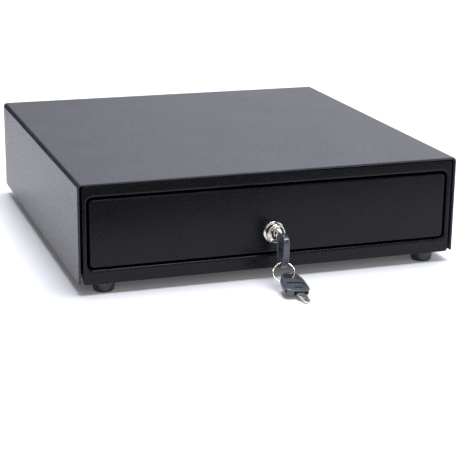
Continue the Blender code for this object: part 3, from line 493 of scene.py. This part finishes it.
def turned(profile, axis, centre, steps=64, closed=False):
    """A solid of revolution from (radius, place) pairs; a closed profile makes a ring."""
    rings = []
    for radius, at in profile:
        ring = arc(centre, radius, 0, 360 - 360 / steps, steps - 1)
        rings.append([on_plane(axis, a, b, at) for a, b in ring])
    return loft(rings, closed_along=closed)


def as_object(name, mesh):
    """A mesh as an object in the scene."""
    obj = bpy.data.objects.new(name, mesh)
    bpy.context.scene.collection.objects.link(obj)
    return obj


def cut(mesh, *others):
    """A mesh with other meshes cut out of it."""
    target = as_object("target", mesh)
    helpers = [as_object("helper", other) for other in others]
    for helper in helpers:
        step = target.modifiers.new("step", "BOOLEAN")
        step.operation = "DIFFERENCE"
        step.object = helper
        step.solver = "EXACT"
    graph = bpy.context.evaluated_depsgraph_get()
    result = bpy.data.meshes.new_from_object(target.evaluated_get(graph))
    for obj in [target] + helpers:
        bpy.data.objects.remove(obj, do_unlink=True)
    return result


def merged(*meshes):
    """Several meshes as one, with no Boolean."""
    shape = bmesh.new()
    for mesh in meshes:
        shape.from_mesh(mesh)
    result = bpy.data.meshes.new("merged")
    shape.to_mesh(result)
    shape.free()
    return result


def soften(obj, width):
    """Rounds an object's hard edges and keeps its flat faces flat."""
    if width:
        bevel = obj.modifiers.new("edges", "BEVEL")
        bevel.width = width * MM
        bevel.segments = BEVEL_SEGMENTS
        bevel.limit_method = "ANGLE"
        bevel.angle_limit = math.radians(BEVEL_ANGLE)
        bevel.harden_normals = False
        bevel.miter_outer = "MITER_ARC"
    obj.data.shade_smooth()
    obj.data.set_sharp_from_angle(angle=math.radians(SHARP_ANGLE))
    weighted = obj.modifiers.new("normals", "WEIGHTED_NORMAL")
    weighted.keep_sharp = True
    weighted.weight = 80


def piece(name, mesh, body, slot, node, edge=0.0, matrix=None):
    """A finished piece of the object, riding on a body and standing for a CAD node."""
    if matrix:
        mesh.transform(matrix)
    obj = as_object(name, mesh)
    mesh.materials.clear()
    mesh.materials.append(MATERIALS[slot])
    soften(obj, edge)
    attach(obj, body)
    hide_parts(node)
    return obj


# ---------------------------------------------------------------- housing


def cover_outline(inset, low):
    """The cover's section: two sides, a top, and the bends between them."""
    half, top = HALF - inset, TOP - inset
    bend = max(COVER_BEND - inset, 0.6)
    right = arc((half - bend, top - bend), bend, 0, 90, 8)
    left = arc((-half + bend, top - bend), bend, 90, 180, 8)
    return [(half, low)] + right + left + [(-half, low)]


def cover_shell():
    """The cover as one bent sheet, folded back on itself along its front edge."""
    fold = HEM / 2
    corner = BACK_CORNER
    profile = [(BACK - corner, 0.0)]
    profile += [(y, inset) for inset, y in arc((fold, FRONT + fold), fold, 180, 360, 10)]
    profile += [(FRONT + HEM_DEPTH, HEM), (FRONT + HEM_DEPTH, SHEET)]
    profile += [(BACK - SHEET, SHEET), (BACK - SHEET, BACK_RETURN), (BACK, BACK_RETURN)]
    profile += [(y, inset) for inset, y in arc((corner, BACK - corner), corner, 90, 180, 4)[:-1]]
    rings = []
    for y, inset in profile:
        rings.append([(x, y, z) for x, z in cover_outline(inset, COVER_LOW.z)])
    shell = loft(rings, closed_along=True, closed_round=False)
    piece("cover_shell", shell, "housing", "cover_coat", "top_cover")


def frame_shell():
    """The pressed frame round the drawer, with rolled edges outside and inside."""
    front, r = FRAME_LOW.y, FRAME_EDGE

    def outer(inset, y):
        low = (FRAME_LOW.x + inset, FRAME_LOW.z + inset)
        high = (FRAME_HIGH.x - inset, FRAME_HIGH.z - inset)
        return [(a, y, b) for a, b in round_rect(low, high, FRAME_CORNER - inset)]

    def inner(outset, y):
        low = (OPENING_LOW.x - outset, OPENING_LOW.z - outset)
        high = (OPENING_HIGH.x + outset, OPENING_HIGH.z + outset)
        return [(a, y, b) for a, b in round_rect(low, high, OPENING_CORNER + outset)]

    rings = [outer(0.0, FRAME_HIGH.y)]
    rings += [outer(inset, y) for inset, y in arc((r, front + r), r, 180, 270, 5)]
    lip = OPENING_EDGE
    rings += [inner(lip - a, y) for a, y in arc((0, front + lip), lip, 270, 360, 7)]
    rings += [inner(0.0, FRONT + OPENING_DEPTH), inner(SHEET, FRONT + OPENING_DEPTH)]
    web = front + SHEET + GAP
    rings += [inner(SHEET, web), outer(SHEET, web), outer(SHEET, FRAME_HIGH.y)]
    piece("frame_shell", loft(rings, closed_along=True), "housing", "black_coat", "front_frame")


def foot(node):
    """A turned rubber foot with a soft shoulder and a recess for its screw."""
    low, high = span(node)
    centre = ((low.x + high.x) / 2, (low.y + high.y) / 2)
    top, wide = high.z, (high.x - low.x) / 2
    shoulder, under = FOOT_SHOULDER, FOOT_BOTTOM_ROUND
    profile = [(FOOT_HOLE_RADIUS, top)] + arc((wide - shoulder, top - shoulder), shoulder, 90, 0, 4)
    profile += [(wide, top - 2 * shoulder), (wide - 0.5, top - 4 * shoulder)]
    profile += arc((FOOT_BOTTOM_RADIUS - 0.7, under), under, -8, -90, 5)
    profile += [(FOOT_RECESS_RADIUS, 0.0), (FOOT_RECESS_RADIUS, FOOT_RECESS_DEPTH)]
    profile += [(FOOT_HOLE_RADIUS, FOOT_RECESS_DEPTH)]
    mesh = turned(profile, "z", centre, 48, closed=True)
    piece(node.replace("foot", "rubber_foot"), mesh, "housing", "foot_rubber", node)


def housing():
    """The outer shells and the feet."""
    cover_shell()
    frame_shell()
    for corner in ("front_left", "front_right", "rear_left", "rear_right"):
        foot("foot_" + corner)


# ---------------------------------------------------------------- drawer front and lock


def panel_shell():
    """The drawer's pressed front panel: a soft edge, a deep flange and a notch for the lock's cam."""
    r = PANEL_EDGE

    def ring(inset, y, radius):
        low = (PANEL_LOW.x + inset, PANEL_LOW.z + inset)
        high = (PANEL_HIGH.x - inset, PANEL_HIGH.z - inset)
        return [(a, y, b) for a, b in round_rect(low, high, radius)]

    front, back = PANEL_LOW.y, PANEL_HIGH.y
    inner = PANEL_INNER_CORNER
    rings = [ring(SHEET, back, inner), ring(0.0, back, PANEL_CORNER)]
    rings += [ring(inset, y, PANEL_CORNER - inset) for inset, y in arc((r, front + r), r, 180, 270, 5)]
    shell = loft(rings, capped=False)
    hole = LOCK_RADIUS - 0.6
    lock_hole = turned([(hole, front - PAST), (hole, front + PAST)], "y", (0, LOCK_Z))
    web = front + SHEET
    face = cut(loft([ring(r, front, PANEL_CORNER - r), ring(r, web, PANEL_CORNER - r)]), lock_hole)
    hollow = [ring(SHEET, back, inner), ring(SHEET, web, inner), ring(r, web, inner - 0.5)]
    inside = loft(hollow, capped=False)
    inside.flip_normals()
    left, right = -CAM_WAY_LEFT, CAM_WAY_RIGHT
    low, high = PANEL_LOW.z - PAST, PANEL_LOW.z + PAST
    notch = [(left, low), (right, low), (right, high), (left, high)]
    cam_way = prism(notch, "y", LOCK_HIGH.y - 1.0, LOCK_HIGH.y + 4.5)
    panel = cut(merged(shell, face, inside), cam_way)
    piece("panel_shell", panel, "drawer", "black_coat", "drawer_front")


def lock_barrel():
    """The lock's nickel barrel: a flange on the panel, a round rim and a dished ring inside it."""
    face, back = LOCK_LOW.y, PANEL_LOW.y
    front = back - FLANGE_THICKNESS
    flange = (LOCK_HIGH.x - LOCK_LOW.x) / 2
    hole = PLUG_RADIUS + PLUG_CLEARANCE
    tail = LOCK_RADIUS - LOCK_RIM
    profile = [(hole, LOCK_HIGH.y), (hole, face + 1.3), (hole + 0.5, face + 0.9)]
    profile += [(hole + 1.2, face + 0.75)]
    profile += arc((tail, face + LOCK_RIM), LOCK_RIM, 250, 360, 7)
    profile += [(LOCK_RADIUS, front - 0.7), (LOCK_RADIUS + 0.3, front)]
    profile += arc((flange - LOCK_FLANGE_ROUND, front + LOCK_FLANGE_ROUND), LOCK_FLANGE_ROUND, 270, 360, 5)
    profile += [(flange, back - GAP), (tail, back - GAP), (tail, LOCK_HIGH.y)]
    mesh = turned(profile, "y", (0, LOCK_Z), 96, closed=True)
    piece("lock_barrel", mesh, "drawer", "lock_chrome", "lock_body")


def plug_core():
    """The plug with a rounded edge and a keyway that is wider round the blade's spine."""
    low, high = span("lock_plug")
    face = low.y
    profile = [(PLUG_RADIUS - 0.5, face), (PLUG_RADIUS, face + 0.5), (PLUG_RADIUS, LOCK_HIGH.y + GAP)]
    body = turned(profile, "y", (0, LOCK_Z), 64)
    half, tall, square = BLADE_THICKNESS / 2 + GAP, BLADE_WIDTH / 2 + GAP, PLUG_TAIL_HALF
    main = round_rect((-half, LOCK_Z - tall), (half, LOCK_Z + tall), 0.4, 3)
    spine = round_rect((-half - 0.7, LOCK_Z - 0.6), (half, LOCK_Z + 1.6), 0.3, 3)
    end = round_rect((-square, LOCK_Z - square), (square, LOCK_Z + square), 0.3, 3)
    keyway = [prism(outline, "y", face - PAST, face + KEYWAY_DEPTH) for outline in (main, spine)]
    tail = prism(end, "y", LOCK_HIGH.y, high.y)
    piece("plug_core", merged(cut(body, *keyway), tail), "lock", "lock_chrome", "lock_plug", PLUG_EDGE)


# ---------------------------------------------------------------- keys


def head_half_width(u):
    """The half width of a key head at a distance from its ring end."""
    s = u / HEAD_LENGTH
    widest = HEAD_WIDEST
    if s < widest:
        rounded = max(1 - ((widest - s) / widest) ** 3.8, 0.0) ** 0.5
        return HEAD_HALF_WIDTH * rounded * (1 - HEAD_TAPER + HEAD_TAPER * s / widest)
    return HEAD_HALF_WIDTH * max(1 - ((s - widest) / (1 - widest)) ** 4.2, 0.0) ** 0.36


def head_outline(inset):
    """A key head's outline as (y, z), with the fold pin at the origin and the ring end at -z."""
    middle = HEAD_LENGTH / 2
    shrink = 1 - inset / middle
    narrow = 1 - inset / HEAD_HALF_WIDTH
    steps = 40
    side = []
    for i in range(steps + 1):
        u = middle - middle * math.cos(math.pi * i / steps)
        along = middle + (u - middle) * shrink
        side.append((max(head_half_width(u), 0.8) * narrow, along - HEAD_LENGTH + HEAD_ABOVE_PIN))
    return side + [(-y, z) for y, z in reversed(side)]


def head_mesh():
    """A folding key's head: a raised rim round a dished panel, a D slot, grooves and a fork.

    The fork is open at the blade's end and on the +Y side. A small window is in the other edge.
    """
    half, r, rim = HEAD_THICKNESS / 2, HEAD_ROUND, HEAD_RIM
    stations = [(half - HEAD_DISH, rim + 0.9), (half - 0.25, rim + 0.15), (half, rim - 0.25)]
    stations += [(x, inset) for inset, x in arc((r, half - r), r, 90, 180, 6)]
    rings = []
    for x, inset in stations:
        rings.append([(x, y, z) for y, z in head_outline(inset)])
    body = loft([[(-x, y, z) for x, y, z in ring] for ring in rings] + rings[::-1])
    low = -HEAD_LENGTH + HEAD_ABOVE_PIN
    outside, far = 9.0, 20.0
    slot = prism(slot_outline(low), "x", -outside, outside)
    mouth = [(-FORK_BACK, -FORK_FLOOR), (far, -FORK_FLOOR), (far, far), (-FORK_BACK, far)]
    fork = prism(mouth, "x", -FORK_HALF, FORK_HALF)
    window = prism(round_rect((-1.1, 0.1), (1.1, 2.6), 0.3, 2), "y", -far, -4)
    cutters = [slot, fork, window]
    for side in (-1, 1):
        at = sorted((side * (half - HEAD_DISH - GROOVE_DEPTH), side * outside))
        for (left, start), (right, end), corner in HEAD_GROOVES:
            groove = round_rect((left, low + start), (right, low + end), corner, 3)
            cutters.append(prism(groove, "x", *at))
    return cut(body, *cutters)


def slot_outline(low):
    """The ring's slot: straight on the blade's side and tapered towards the ring end."""
    wide, narrow, shoulder = SLOT_HALF_WIDTH, SLOT_HALF_START, SLOT_START + SLOT_SHOULDER
    corners = [(narrow, SLOT_START), (wide, shoulder), (wide, SLOT_END)]
    corners += [(-wide, SLOT_END), (-wide, shoulder), (-narrow, SLOT_START)]
    return [(y, low + u) for y, u in corners]


def blade_mesh(reach):
    """A flat blade with a round root on its pin, cuts along one edge and a groove in each face."""
    half, tip, deep = BLADE_WIDTH / 2, BLADE_TIP, -BLADE_WIDTH / 2 + CUT_DEPTH
    outline = arc((0, 0), BLADE_ROOT, 54, 306, 24) + [(BLADE_NECK, -half)]
    pitch = (reach - FIRST_CUT - 2.0) / BLADE_CUTS
    for i in range(BLADE_CUTS):
        y = FIRST_CUT + i * pitch
        outline += [(y, -half), (y + 0.3 * pitch, deep), (y + 0.6 * pitch, deep)]
    outline += [(reach - tip, -half), (reach, -half + tip), (reach, half - tip)]
    outline += [(reach - tip, half), (BLADE_NECK, half)]
    thick = BLADE_THICKNESS / 2
    blade = prism(outline, "x", -thick, thick)
    hole = turned([(PIN_HOLE_RADIUS, -PAST), (PIN_HOLE_RADIUS, PAST)], "x", (0, 0), 24)
    grooves = []
    for side, height in ((1, 0.3), (-1, 1.3)):
        at = sorted((side * (thick - BLADE_GROOVE_DEPTH), side * 4))
        groove = round_rect((6.2, height), (reach + 4, height + BLADE_GROOVE_WIDTH), 0.3, 2)
        grooves.append(prism(groove, "x", *at))
    return cut(blade, hole, *grooves)


def pin_mesh():
    """A fold pin with slightly domed ends."""
    half = HEAD_THICKNESS / 2 - 0.7
    wide, end, dome = PIN_RADIUS, PIN_RADIUS - 0.6, half - 0.3
    return turned([(end, -half), (wide, -dome), (wide, dome), (end, half)], "x", (0, 0), 24)


def placed(columns, point):
    """A matrix in metres from three axis directions and a point in millimetres."""
    matrix = Matrix(columns).transposed().to_4x4()
    matrix.translation = Vector(point) * MM
    return matrix


def spare_axes():
    """The spare key's thickness, width and length directions."""
    thick = joint("spare_fold")[1]
    across = joint("spare_swing")[1]
    return thick, across, thick.cross(across)


def split_ring():
    """Two turns of flattened wire, with a step where one turn passes to the other."""
    top, along = joint("ring_swing")
    link = joint("spare_swing")[0]
    down = link - top
    down -= down.dot(along) * along
    down.normalize()
    face = along.cross(down)
    centre = top + down * RING_RADIUS
    low, high = (-WIRE_HALF_WIDTH, -WIRE_HALF_THICKNESS), (WIRE_HALF_WIDTH, WIRE_HALF_THICKNESS)
    section = round_rect(low, high, WIRE_ROUND, 3)
    rings = []
    for i in range(RING_TURNS * RING_STEPS - 3):
        angle = 2 * math.pi * i / RING_STEPS + math.radians(RING_START)
        crossed = min(max((i / RING_STEPS - 0.96) / 0.08, 0.0), 1.0)
        lift = RING_PITCH / 2 * (2 * crossed - 1)
        out = along * math.cos(angle) + down * math.sin(angle)
        rings.append([centre + out * (RING_RADIUS + a) + face * (lift + b) for a, b in section])
    piece("split_ring", loft(rings), "key_ring", "key_nickel", "key_ring")


def key_in_lock():
    """The folding key in the lock, its head hanging down from the fold pin."""
    fold, hanging = joint("key_fold")
    upright = Vector((0, 0, 1))
    hung = placed((hanging, upright.cross(hanging), upright), fold)
    level = placed(((1, 0, 0), (0, 1, 0), (0, 0, 1)), fold)
    blade = blade_mesh(span("key_blade")[1].y - fold.y)
    piece("lock_key_head", head_mesh(), "key_head", "key_plastic", "key_head", HEAD_EDGE, hung)
    piece("lock_key_pin", pin_mesh(), "key_head", "key_nickel", "key_pin", matrix=hung)
    piece("lock_key_blade", blade, "lock", "key_nickel", "key_blade", BLADE_EDGE, level)


def spare_key():
    """The spare folding key on the ring, its blade swung a little on its pin."""
    axes, pin = placed(spare_axes(), joint("spare_fold")[0]), "spare_key_pin"
    lying = axes @ Matrix.Rotation(math.pi, 4, "Z")
    swung = axes @ Matrix.Rotation(math.radians(90 + SPARE_FOLD), 4, "X")
    blade = blade_mesh(SPARE_REACH)
    piece("spare_head", head_mesh(), "spare_head", "key_plastic", "spare_key_head", HEAD_EDGE, lying)
    piece("spare_pin", pin_mesh(), "spare_head", "key_nickel", pin, matrix=lying)
    piece("spare_blade", blade, "spare_blade", "key_nickel", "spare_key_blade", BLADE_EDGE, swung)


# ---------------------------------------------------------------- the rest of the steel and plastic


def refined(node, body, slot):
    """A CAD node's shape with its coplanar faces joined and its edges rounded."""
    shape = bmesh.new()
    shape.from_mesh(frame["nodes"][node].data)
    bmesh.ops.remove_doubles(shape, verts=shape.verts, dist=0.00001)
    bmesh.ops.dissolve_limit(shape, angle_limit=math.radians(0.5), verts=shape.verts, edges=shape.edges)
    bmesh.ops.recalc_face_normals(shape, faces=shape.faces)
    mesh = bpy.data.meshes.new(node)
    shape.to_mesh(mesh)
    shape.free()
    piece(node + "_finished", mesh, body, slot, node, REFINED[node])


def carried_over():
    """Gives every CAD node that still shows a finished copy or its material."""
    slots = {entry["node"]: entry["material_slot"] for entry in frame["record"]["subparts"]}
    bodies = frame["record"]["behaviour"]["bodies"]
    body_of = {node: body for body, nodes in bodies.items() for node in nodes}
    for node, slot in slots.items():
        obj = frame["nodes"][node]
        obj.data.materials.clear()
        obj.data.materials.append(MATERIALS[slot])
        if node in REFINED:
            refined(node, body_of[node], slot)


def coin_insert():
    """The coin insert, with two rows of scooped cups and softly rounded rims."""
    low, high = span("coin_cups")
    wall, rim, scoop = COIN_WALL, COIN_RIM, COIN_SCOOP
    across = (high.x - low.x - 2 * rim + wall) / COIN_COLUMNS
    deep = (high.y - low.y - 2 * rim + wall) / COIN_ROWS
    centre = low.z + COIN_FLOOR + scoop
    cups = []
    for column in range(COIN_COLUMNS):
        for row in range(COIN_ROWS):
            x, y = low.x + rim + column * across, low.y + rim + row * deep
            end = y + deep - wall
            outline = [(end, high.z + PAST), (y, high.z + PAST)]
            outline += arc((y + scoop, centre), scoop, 180, 270, 10)
            outline += arc((end - scoop, centre), scoop, 270, 360, 10)
            cups.append(prism(outline, "x", x, x + across - wall))
    plan = [(low.x, low.y), (high.x, low.y), (high.x, high.y), (low.x, high.y)]
    block = prism(plan, "z", low.z, high.z)
    piece("coin_insert", cut(block, *cups), "drawer", "tray_plastic", "coin_cups", COIN_EDGE)


# ---------------------------------------------------------------- camera, light and floor


def towards(azimuth, height):
    """A direction from a compass angle, clockwise from +Y, and a height, both in degrees."""
    a, h = math.radians(azimuth), math.radians(height)
    return Vector((math.sin(a) * math.cos(h), math.cos(a) * math.cos(h), math.sin(h)))


def camera():
    """A long lens in front of the drawer, to its left and a little above it."""
    azimuth, roll = math.radians(CAMERA_AZIMUTH), math.radians(CAMERA_ROLL)
    forward = towards(CAMERA_AZIMUTH, -CAMERA_DOWN)
    level = Vector((math.cos(azimuth), -math.sin(azimuth), 0))
    upright = level.cross(forward)
    right = level * math.cos(roll) + upright * math.sin(roll)
    up = right.cross(forward)
    lens = bpy.data.cameras.new("camera")
    lens.lens = CAMERA_LENS
    lens.sensor_width = CAMERA_SENSOR
    lens.clip_end = CAMERA_FAR
    obj = bpy.data.objects.new("camera", lens)
    bpy.context.scene.collection.objects.link(obj)
    obj.matrix_world = placed((right, up, -forward), CAMERA_PLACE)
    bpy.context.scene.camera = obj


def softbox(name, place, aim, size, power):
    """A square light at a place, turned to a point; places and sizes are in metres."""
    light = bpy.data.lights.new(name, "AREA")
    light.shape = "RECTANGLE"
    light.size, light.size_y = size
    light.energy = power
    obj = bpy.data.objects.new(name, light)
    bpy.context.scene.collection.objects.link(obj)
    obj.location = place
    obj.rotation_euler = (Vector(aim) - Vector(place)).to_track_quat("-Z", "Y").to_euler()


def world():
    """A dim studio with one wide, pale patch of light, high behind the object and to its right."""
    made = bpy.data.worlds.new("studio")
    bpy.context.scene.world = made
    made.use_nodes = True
    tree = made.node_tree
    back = tree.nodes["Background"]
    place = tree.nodes.new("ShaderNodeTexCoord")
    facing = tree.nodes.new("ShaderNodeVectorMath")
    facing.operation = "DOT_PRODUCT"
    facing.inputs[1].default_value = towards(WALL_AZIMUTH, WALL_HEIGHT)
    ramp = tree.nodes.new("ShaderNodeMapRange")
    ramp.interpolation_type = "SMOOTHSTEP"
    ramp.inputs["From Min"].default_value = math.cos(math.radians(WALL_SPREAD))
    ramp.inputs["From Max"].default_value = math.cos(math.radians(WALL_CORE))
    ramp.inputs["To Min"].default_value = STUDIO_DIM
    ramp.inputs["To Max"].default_value = STUDIO_BRIGHT
    tree.links.new(place.outputs["Generated"], facing.inputs[0])
    tree.links.new(facing.outputs["Value"], ramp.inputs["Value"])
    tree.links.new(ramp.outputs["Result"], back.inputs["Strength"])
    back.inputs["Color"].default_value = STUDIO_COLOUR


def sun(name, azimuth, height, strength, width):
    """A soft distant light, from a compass direction and a height in degrees."""
    light = bpy.data.lights.new(name, "SUN")
    light.energy = strength
    light.angle = math.radians(width)
    obj = bpy.data.objects.new(name, light)
    bpy.context.scene.collection.objects.link(obj)
    obj.rotation_euler = towards(azimuth, height).to_track_quat("Z", "Y").to_euler()


def table():
    """A wide, pale table top, just under the feet, with a faint glow of its own: painted light that lifts the
    shade under and beside the drawer.
    """
    far = TABLE_HALF
    outline = [(-far, -far), (far, -far), (far, far), (-far, far)]
    obj = as_object("table", prism(outline, "z", -TABLE_THICKNESS, -TABLE_DROP))
    nodes = Nodes("table", TABLE_COLOUR, TABLE_ROUGHNESS, Emission_Strength=TABLE_GLOW)
    nodes.shader.inputs["Emission Color"].default_value = (1.0, 1.0, 1.0, 1.0)
    nodes.rough(nodes.spread(nodes.noise(2), TABLE_ROUGHNESS - 0.03, TABLE_ROUGHNESS + 0.03))
    obj.data.materials.append(nodes.material)


def painted_shade_card(name, card, low, high):
    """A black card seen only in reflections: painted shade, hidden from the camera and casting no shadow."""
    obj = as_object(name, prism(card, "z", low, high))
    obj.data.materials.append(Nodes(name, colour=(0.01, 0.01, 0.01), roughness=0.9).material)
    obj.visible_camera = False
    obj.visible_diffuse = False
    obj.visible_shadow = False


def stage():
    """The camera, the studio and the table."""
    camera()
    world()
    table()
    sun("overhead", azimuth=110.0, height=84.0, strength=3.6, width=36.0)
    softbox("front", place=(-0.4, -1.9, 1.1), aim=(0.0, -0.2, 0.05), size=(2.4, 1.3), power=11)
    softbox("right_card", place=(0.75, -0.75, 0.25), aim=(0.1, -0.17, 0.06), size=(0.5, 0.3), power=1.1)
    # Painted shade: two black cards that only darken reflections in the coat
    painted_shade_card("painted_shade_mat", PAINTED_SHADE_MAT, low=0.1, high=0.3)
    painted_shade_card("painted_shade_back", PAINTED_SHADE_BACK, low=0.0, high=600.0)
    bpy.context.scene.view_settings.view_transform = "Standard"


stage()
housing()
panel_shell()
lock_barrel()
plug_core()
key_in_lock()
split_ring()
spare_key()
coin_insert()
carried_over()
